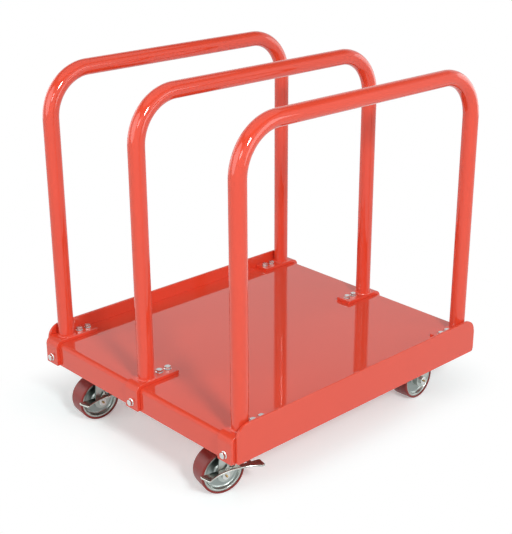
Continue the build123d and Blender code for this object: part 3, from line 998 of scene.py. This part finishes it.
@dataclass
class Caster:
    """Swivel caster: plated fork and plate, turned core, moulded tread, axle and brake pedal."""

    corner: Corner
    frame: dict
    core_radius: float = 45.0
    wheel_radius: float = 50.0
    tread_width: float = 46.0
    shoulder: float = 3.0
    rim_width: float = 42.0
    rim_lip: float = 4.0
    hub_radius: float = 14.5
    hub_gap: float = 1.0
    fork_inside: float = 54.0
    fork_outer: float = 31.0
    bore: float = 7.2
    bore_chamfer: float = 0.8
    round_steps: int = 96
    axle: Hardware = Hardware(10.0, 17.0, 6.4, pitch=1.5)
    axle_nut: Hardware = Hardware(10.0, 17.0, 8.0, pitch=1.5)
    axle_overhang: float = 2.0
    pedal_level: float = 15.0
    pedal_sheet: float = 2.5
    pedal_bend: float = 2.6
    pedal_rim: float = 4.0
    pedal_front: float = 82.0
    pedal_rear: float = 59.0
    pedal_inner: float = 31.5
    pedal_pad: float = 30.5
    pedal_waist: float = 11.5
    pedal_slant: float = 8.0
    pedal_corner: float = 4.0
    pedal_tip_corner: float = 3.0
    pedal_edge: float = 0.4
    pedal_hub: float = 9.0
    web_half: float = 18.0
    shoe_reach: Point2 = (52.0, 61.0)
    shoe_side: float = 12.5
    shoe_lap: float = 2.0

    def __post_init__(self) -> None:
        """Reads the wheel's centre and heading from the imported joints."""
        spin = self.joint("wheel_spin")
        self.hub = Vector(spin["pos_m"]) / MM
        self.out = Vector(spin["axis"]).normalized()
        self.ahead = UP.cross(self.out)

    def own(self, kind: str) -> str:
        """Name of one of the caster's nodes, bodies or joints."""
        return f"{kind}_{self.corner.value}"

    def joint(self, kind: str) -> dict:
        """One of the caster's joints, as packed."""
        return next(j for j in self.frame["joints"] if j["name"] == self.own(kind))

    def across(self, distance: float) -> Matrix:
        """Place on the axle, with Z outwards on the brake side and X straight ahead."""
        return placed(self.hub + self.out * distance, self.ahead, self.out.cross(self.ahead))

    def build(self) -> None:
        """Builds the caster's own pieces and dresses its CAD nodes."""
        nodes = self.frame["nodes"]
        for kind in ("fork", "caster_plate", "kingpin", "bearing_cage"):
            dress(nodes[self.own(kind)], Coat.STAMPING)
        dress(nodes[self.own("axle_bush")], Coat.BRONZE)
        self.wheel()
        if self.corner.braked:
            self.pedal()

    def wheel(self) -> None:
        """Core, tread, axle bolt with its nut, and the grease nipple in the bolt's head."""
        bolt, nut, outer = Form(), Form(), self.fork_outer
        grip = 2 * outer + self.axle_nut.height
        self.axle.bolt(bolt, Matrix.Identity(4), grip, self.axle_overhang)
        self.axle_nut.nut(nut, Matrix.Rotation(math.pi, 4, "X"))
        profile = [(2.6, -0.5), (2.6, 1.2), (1.6, 1.7), (1.6, 2.6), (2.1, 3.2), (1.9, 4.2), (0.9, 4.9)]
        nipple = Form().add(turned_rings(profile, 24))
        for name, node, body, form, coat, distance, sharp in (
            ("turned_core", "wheel_core", "wheel", self.core(), Coat.CORE, 0, SHARP),
            ("tyre", "tread", "wheel", self.tread(), Coat.TREAD, 0, SOFT_SHARP),
            ("axle_hex_bolt", "axle_bolt", "swivel", bolt, Coat.BOLT, outer, HEX_SHARP),
            ("axle_hex_nut", "axle_nut", "swivel", nut, Coat.BOLT, -outer, HEX_SHARP),
            ("grease_nipple", None, "swivel", nipple, Coat.BRASS, outer + self.axle.height, SHARP),
        ):
            stands_for = self.own(node) if node else None
            form.piece(self.own(name), coat, stands_for, self.own(body), self.across(distance), sharp)

    def core(self) -> Form:
        """Turns the core: hub, dished web with a raised ring, and a rim with a lip on each side.

        Returns:
            Its form.
        """
        hub_half, rim_half = self.fork_inside / 2 - self.hub_gap, self.rim_width / 2
        rim_bottom = self.core_radius - self.rim_lip
        # Radius and half width, from the bore out to the rim.
        profile = [
            (self.bore, hub_half - self.bore_chamfer),
            (self.bore + self.bore_chamfer, hub_half),
            (self.hub_radius - 1.0, hub_half),
            (self.hub_radius, hub_half - 1.0),
            (self.hub_radius + 1.2, rim_half - 5.0),
            (self.hub_radius + 2.8, 14.4),
            (self.hub_radius + 4.0, 13.3),
            (25.0, 13.0),
            (33.0, 13.2),
            (rim_bottom - 4.6, 14.0),
            (rim_bottom - 2.2, 16.4),
            (rim_bottom - 0.9, rim_half - 1.4),
            (rim_bottom, rim_half - 0.4),
            (rim_bottom + 0.7, rim_half),
            (self.core_radius - 0.5, rim_half),
            (self.core_radius, rim_half - 0.5),
        ]
        return self.mirrored(profile)

    def tread(self) -> Form:
        """Turns the tread that is bonded round the core, with rounded shoulders.

        Returns:
            Its form.
        """
        half, radius = self.tread_width / 2, self.shoulder
        profile = [(self.core_radius + 0.05, half - 0.4), (self.core_radius + 0.4, half)]
        for angle in quarter_turn(6):
            across = half - radius + radius * math.cos(angle)
            profile.append((self.wheel_radius - radius + radius * math.sin(angle), across))
        return self.mirrored(profile)

    def mirrored(self, profile: list[Point2]) -> Form:
        """Hollow turned form from the profile of its one half."""
        whole = profile + [(r, -z) for r, z in reversed(profile)]
        return Form().add(turned_rings(whole, self.round_steps), wrap=True)

    def pedal(self) -> None:
        """Two-ended brake pedal: waisted tray with a turned-down rim, web with the pivot hub, and shoe."""
        top = self.hub.z + self.pedal_level
        pivot = Vector(self.joint("pedal_rock")["pos_m"]) / MM
        along, rise = (pivot - self.hub).dot(self.ahead), pivot.z - self.hub.z
        place = placed(Vector((self.hub.x, self.hub.y, top)), self.ahead, UP.cross(self.ahead))
        form = Form().add(self.tray_rings(along), place)
        sheet, inner, hub = self.pedal_sheet, self.pedal_inner, self.pedal_hub
        arc = (math.pi * (1 + k / 24) for k in range(25))
        web = [(along + hub * math.cos(a), rise + hub * math.sin(a)) for a in arc]
        web_top = top - self.hub.z - sheet / 2
        web += [(along + self.web_half, web_top), (along - self.web_half, web_top)]
        web_place = placed(self.hub + self.out * (inner + sheet), self.ahead, UP)
        form.add(plate_rings(web, sheet, self.pedal_edge, 2), web_place)
        (near, far), side, lap = self.shoe_reach, self.shoe_side, -inner - self.shoe_lap
        shoe = rounded([(near, lap), (far, lap), (far, side), (near, side)], [1.0] * 4, 3)
        lowered = place @ Matrix.Translation((0, 0, -sheet))
        form.add(plate_rings(shoe, sheet, self.pedal_edge, 2), lowered)
        name, node, body = (self.own(kind) for kind in ("rocker_pedal", "brake_pedal", "brake_pedal_body"))
        form.piece(name, Coat.PEDAL, node, body, sharp=SOFT_SHARP)

    def tray_rings(self, pivot_along: float, steps: int = 24) -> list[Ring]:
        """Rings of the pedal's tray: rounded over its edge, down the rim and back up inside.

        Args:
            pivot_along: Place of the pivot ahead of the axle.
            steps: Chords of the waist.

        Returns:
            Rings from the middle of the upper face round to the middle of the lower one.
        """
        inner, rear, front, slant = -self.pedal_inner, -self.pedal_rear, self.pedal_front, self.pedal_slant
        # The waist is an arc through the pads' outer corners and a point beside the pivot.
        pad, waist = inner - self.pedal_pad, inner - self.pedal_waist
        middle, half = (rear + slant + front) / 2, (front - rear - slant) / 2
        centre = (half**2 - (pivot_along - middle) ** 2 + pad**2 - waist**2) / (pad - waist) / 2
        radius = math.hypot(half, pad - centre)
        offsets = [half * (2 * k / steps - 1) for k in range(steps + 1)]
        outline = [(middle + x, centre + math.sqrt(radius**2 - x**2)) for x in offsets]
        outline += [(front, inner), (rear, inner), (rear, inner - slant)]
        radii = [self.pedal_tip_corner] + [0.0] * (steps - 1) + [self.pedal_corner] * 4
        bend, sheet, rim = self.pedal_bend, self.pedal_sheet, self.pedal_rim
        levels = [(bend * (1 - math.sin(a)), -bend * (1 - math.cos(a))) for a in quarter_turn(5)]
        levels += [(0.0, -rim + 0.3), (0.3, -rim), (sheet - 0.3, -rim), (sheet, -rim + 0.3)]
        levels += [(sheet, -sheet - 0.4), (sheet + 0.6, -sheet)]
        return stepped_rings(rounded(outline, radii, 5), levels)


# Studio


@dataclass(frozen=True)
class Lamp:
    """Round area lamp, in metres and watts."""

    name: str
    place: Point3
    size: float
    power: float
    aim: Point3 = (0, 0, 0.3)

    def build(self) -> None:
        """Adds the lamp to the scene."""
        light = bpy.data.lights.new(self.name, "AREA")
        light.shape = "DISK"
        light.size = self.size
        light.energy = self.power
        made = linked(self.name, light)
        made.location = self.place
        made.rotation_euler = (Vector(self.aim) - Vector(self.place)).to_track_quat("-Z", "Y").to_euler()


HOOPS = (-0.33, -0.1, 0.78)
SOFTBOXES = (
    Lamp("right_softbox", (-1.29, -3.45, 2.75), 0.8, 91.0, HOOPS),
    Lamp("camera_softbox", (-3.11, -2.52, 2.34), 1.0, 16.0, HOOPS),
    Lamp("top_softbox", (0, 0, 2.9), 3.4, 20.0),
    Lamp("left_softbox", (-3.1, 0.35, 1.75), 3.0, 50.0),
    Lamp("low_softbox", (0.9, -2.6, 0.9), 1.6, 16.0),
    Lamp("front_end_softbox", (3.2, -0.7, 0.8), 2.4, 22.0),
    Lamp("far_side_softbox", (-0.7, 3.2, 0.8), 2.4, 22.0),
)


@dataclass
class Studio:
    """Pale floor, soft light and the camera at the photograph's angle."""

    floor_half: float = 14.0
    shadow_centre: Point3 = (0.03, 0.075, 0.0)
    shadow_half: Point3 = (0.37, 0.285, 0.0)
    shadow_fade: Point2 = (0.0, 0.18)
    shadow_paper: str = "#E6F2F2"
    shadow_lift: float = 0.33
    ambient: float = 0.03
    backdrop_rise: Point2 = (0.42, 0.72)
    ceiling: float = 0.12
    eye: Point3 = (-1.6939, -1.8190, 1.3413)
    yaw: float = -45.082
    pitch: float = 21.941
    roll: float = 0.688
    focal_pixels: float = 1150.06
    principal: Point2 = (303.0, 272.0)
    image: tuple[int, int] = (512, 534)
    sensor: float = 36.0

    def build(self) -> None:
        """Builds the whole set."""
        self.floor()
        self.world()
        self.camera()
        for lamp in SOFTBOXES:
            lamp.build()
        bpy.context.scene.view_settings.view_transform = "Standard"

    def floor(self) -> None:
        """Pale floor that keeps the cart's shadow."""
        half = self.floor_half
        mesh = bpy.data.meshes.new("studio_floor")
        corners = [(-half, -half, 0), (half, -half, 0), (half, half, 0), (-half, half, 0)]
        mesh.from_pydata(corners, [], [(0, 1, 2, 3)])
        piece = linked("studio_floor", mesh)
        made = bpy.data.materials.new("matt_white_paper")
        nodes = Nodes(made)
        tone = nodes.tones(nodes.noise(40.0, 2.0), "#DCDCDC", "#E0E0E0")
        # The paper's tint cancels the red that the cart throws on it, so that the shadow looks neutral.
        paper, lit = (nodes.add("BsdfDiffuse", {"Color": c}) for c in (tone, linear(self.shadow_paper)))
        lift, white = (
            nodes.add("Emission", {"Color": linear(WHITE), "Strength": strength})
            for strength in (self.shadow_lift, 1.0)
        )
        near = nodes.add("AddShader", {0: lit.outputs[0], 1: lift.outputs[0]})
        shown = nodes.mix(self.away(nodes), near, white)
        nodes.add("OutputMaterial", {"Surface": nodes.mix(nodes.seen(), paper, shown).outputs[0]})
        mesh.materials.append(made)

    def away(self, nodes: Nodes) -> NodeSocket:
        """Distance outside the cart's shadow, as a share.

        Args:
            nodes: Nodes of the floor's material.

        Returns:
            Socket that rises from 0 in the shadow to 1 where the seen floor is plain white.
        """
        spot = nodes.place
        for operation, other in (
            ("SUBTRACT", self.shadow_centre),
            ("ABSOLUTE", None),
            ("SUBTRACT", self.shadow_half),
            ("MAXIMUM", (0.0, 0.0, 0.0)),
        ):
            inputs = {0: spot, 1: other} if other else {0: spot}
            spot = nodes.add("VectorMath", inputs, operation=operation).outputs[0]
        distance = nodes.add("VectorMath", {0: spot}, operation="LENGTH").outputs["Value"]
        return nodes.remap(distance, self.shadow_fade, smooth=True)

    def world(self) -> None:
        """White background that darkens overhead, with a plain dim sky for the light itself."""
        world = bpy.data.worlds.new("studio_sky")
        nodes = Nodes(world, "Generated")
        rise = nodes.add("SeparateXYZ", {"Vector": nodes.place}).outputs["Z"]
        fade = nodes.remap(rise, self.backdrop_rise, (1.0, self.ceiling), smooth=True)
        sky, backdrop = (
            nodes.add("Background", {"Color": linear(WHITE), "Strength": strength})
            for strength in (self.ambient, fade)
        )
        nodes.add("OutputWorld", {"Surface": nodes.mix(nodes.seen(), sky, backdrop).outputs[0]})
        bpy.context.scene.world = world

    def camera(self) -> None:
        """Camera at the photograph's place, with its shift from the principal point."""
        yaw, pitch, roll = (math.radians(a) for a in (self.yaw, self.pitch, self.roll))
        back = Vector((math.sin(yaw) * math.cos(pitch), -math.cos(yaw) * math.cos(pitch), math.sin(pitch)))
        right = Vector((math.cos(yaw), math.sin(yaw), 0))
        data = bpy.data.cameras.new("photo_camera")
        data.sensor_width = self.sensor
        longest = max(self.image)
        data.lens = self.sensor * self.focal_pixels / longest
        data.shift_x = (self.image[0] / 2 - self.principal[0]) / longest
        data.shift_y = (self.principal[1] - self.image[1] / 2) / longest
        made = linked("photo_camera", data)
        made.matrix_world = placed(Vector(self.eye), right, back.cross(right)) @ Matrix.Rotation(roll, 4, "Z")
        bpy.context.scene.camera = made


def main() -> None:
    """Builds the cart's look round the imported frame."""
    logging.basicConfig(level=logging.INFO, format="%(name)s: %(message)s")
    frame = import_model()
    Frame().build()
    Fasteners().build()
    for corner in Corner:
        Caster(corner, frame).build()
    for node in ("caster_channel_rear", "caster_channel_front", "deck_rib"):
        dress(frame["nodes"][node], Coat.ENAMEL)
    Studio().build()


if __name__ == "__main__":
    main()
